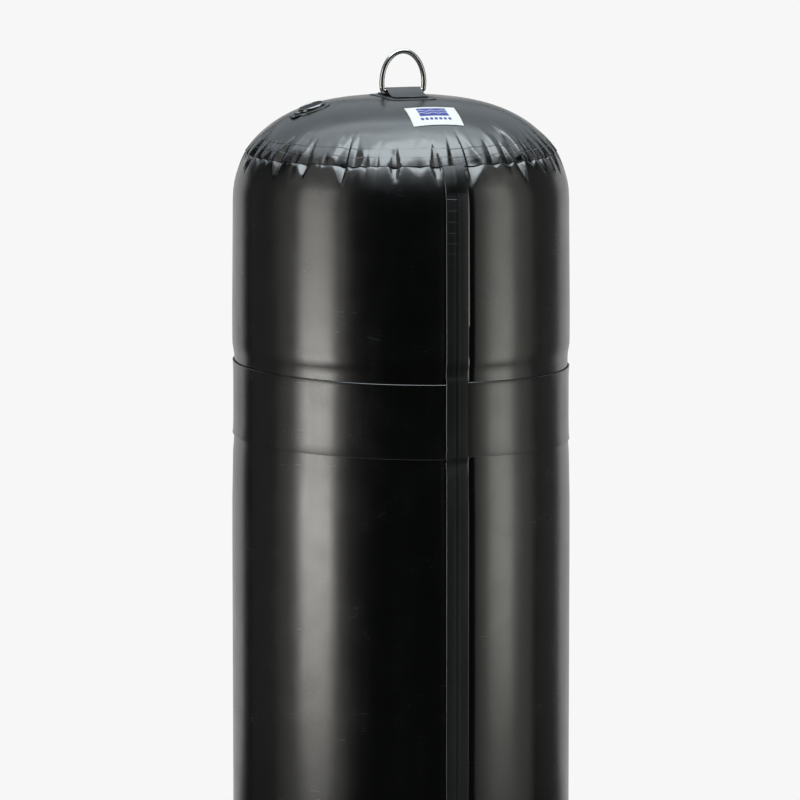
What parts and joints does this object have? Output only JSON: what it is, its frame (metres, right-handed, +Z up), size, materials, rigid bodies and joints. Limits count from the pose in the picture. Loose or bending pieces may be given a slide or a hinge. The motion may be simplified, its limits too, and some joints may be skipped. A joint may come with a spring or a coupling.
{
  "type": "pneumatic fender",
  "caption": "Tall cylindrical inflated fender with domed ends, welded seams, a girth band, a lifting ring and an inflation valve on top.",
  "frame": {"origin": "middle of the foot, the flat spot that the fender stands on", "axes": "+Z up along the fender's axis towards the lifting ring, the long seam and the label face -Y, the valve is at -X"},
  "size_m": [0.45, 0.4515, 1.5647],
  "materials": {
    "fender_sheet": "satin-gloss coated sheet, seen reflections soft",
    "seam_tape": "satin coated tape",
    "patch_sheet": "satin coated sheet",
    "ring_steel": "polished stainless wire",
    "label_film": "smooth white film with a plain blue motif",
    "valve_soft_black": "smooth, slightly glossy",
    "valve_hard_black": "smooth moulded",
    "cap_gloss_black": "glossy moulded",
    "seal_rubber": "matt",
    "spring_steel": "bright drawn wire"
  },
  "bodies": {
    "fender": {"inflated_envelope": "fender_sheet", "girth_band": "seam_tape", "seam_strip": "seam_tape", "seam_tab_top": "seam_tape", "seam_tab_bottom": "seam_tape", "ring_base_patch": "patch_sheet", "ring_strap": "patch_sheet", "label": "label_film", "valve_base": "valve_soft_black", "valve_insert": "valve_hard_black", "valve_insert_seal": "seal_rubber", "valve_spring": "spring_steel"},
    "ring": {"lifting_ring": "ring_steel"},
    "poppet": {"valve_poppet": "valve_hard_black", "valve_button": "valve_hard_black", "valve_poppet_seal": "seal_rubber"},
    "cap": {"valve_cap": "cap_gloss_black", "valve_cap_seal": "seal_rubber"}
  },
  "joints": [
    {"name": "ring_swing", "type": "hinge", "parent": "fender", "child": "ring", "pos_m": [0.0027, 0, 1.5082], "axis": [1, 0, 0], "range_deg": [-88, 88]},
    {"name": "poppet_push", "type": "slide", "parent": "fender", "child": "poppet", "axis": [-0.3086, 0, 0.9512], "range_m": [-0.004, 0], "stiffness_N_per_m": 300, "springref_m": 0.003, "deforming": ["valve_spring"]},
    {"name": "cap_pull", "type": "slide", "parent": "fender", "child": "cap", "axis": [-0.3086, 0, 0.9512], "range_m": [0, 0.03]}
  ]
}
